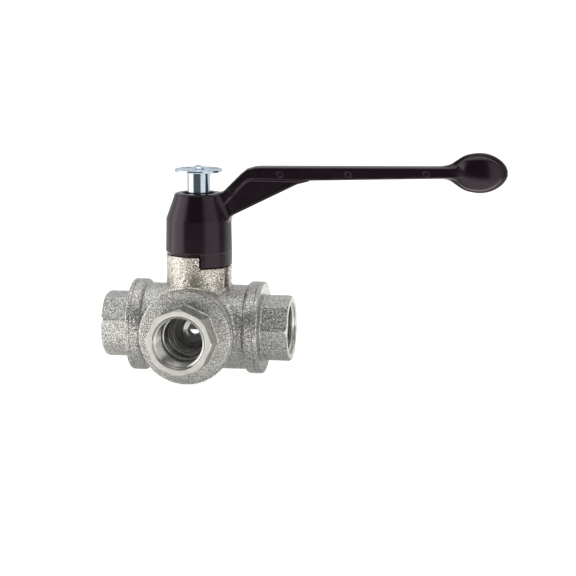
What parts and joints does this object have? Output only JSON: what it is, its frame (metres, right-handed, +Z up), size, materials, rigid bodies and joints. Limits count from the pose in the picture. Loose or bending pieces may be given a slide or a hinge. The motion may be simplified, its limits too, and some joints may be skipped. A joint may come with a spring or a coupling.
{
  "type": "three way valve",
  "caption": "Three way ball valve, T shaped plated brass body with octagon threaded ends, black lift lever and a padlock disc on the stem.",
  "frame": {"origin": "centre of port 1's mouth face; the valve centre is 39.6 mm behind it, at +Y", "axes": "+Z up along the stem, -Y out of port 1, +X out of port 3 and along the lever at rest, -X out of port 2"},
  "size_m": [0.1629, 0.0583, 0.0918],
  "materials": {
    "cast_nickel": "rough cast brass, nickel plated, ends and threads machined",
    "ball_chrome": "chrome plated, mirror polished",
    "plain_brass": "turned",
    "seat_ptfe": "turned PTFE",
    "seal_rubber": "moulded nitrile rubber",
    "zinc_plate": "blue zinc plated, turned and stamped",
    "spring_steel": "drawn stainless wire",
    "lever_black": "die cast, satin black coating"
  },
  "bodies": {
    "body": {"body_casting": "cast_nickel", "end_connector_1": "cast_nickel", "end_connector_2": "cast_nickel", "end_connector_3": "cast_nickel", "connector_o_ring_1": "seal_rubber", "connector_o_ring_2": "seal_rubber", "connector_o_ring_3": "seal_rubber", "seat_1": "seat_ptfe", "seat_2": "seat_ptfe", "seat_3": "seat_ptfe", "seat_back": "seat_ptfe", "packing_ring_lower": "seat_ptfe", "packing_ring_upper": "seat_ptfe", "gland_ring": "plain_brass", "gland_nut": "plain_brass"},
    "spindle": {"ball": "ball_chrome", "stem": "plain_brass", "thrust_washer": "seat_ptfe", "stem_o_ring_lower": "seal_rubber", "stem_o_ring_upper": "seal_rubber", "lift_spring": "spring_steel", "spring_washer": "zinc_plate", "lock_post": "zinc_plate", "lock_disc": "zinc_plate", "lock_screw": "zinc_plate"},
    "handle": {"lever": "lever_black"}
  },
  "joints": [
    {"name": "lever_turn", "type": "hinge", "parent": "body", "child": "spindle", "pos_m": [0, 0.0396, 0], "axis": [0, 0, 1], "range_deg": [0, 90]},
    {"name": "lever_lift", "type": "slide", "parent": "spindle", "child": "handle", "axis": [0, 0, 1], "range_m": [0, 0.0065], "stiffness_N_per_m": 900, "springref_m": -0.005, "deforming": ["lift_spring"]}
  ]
}
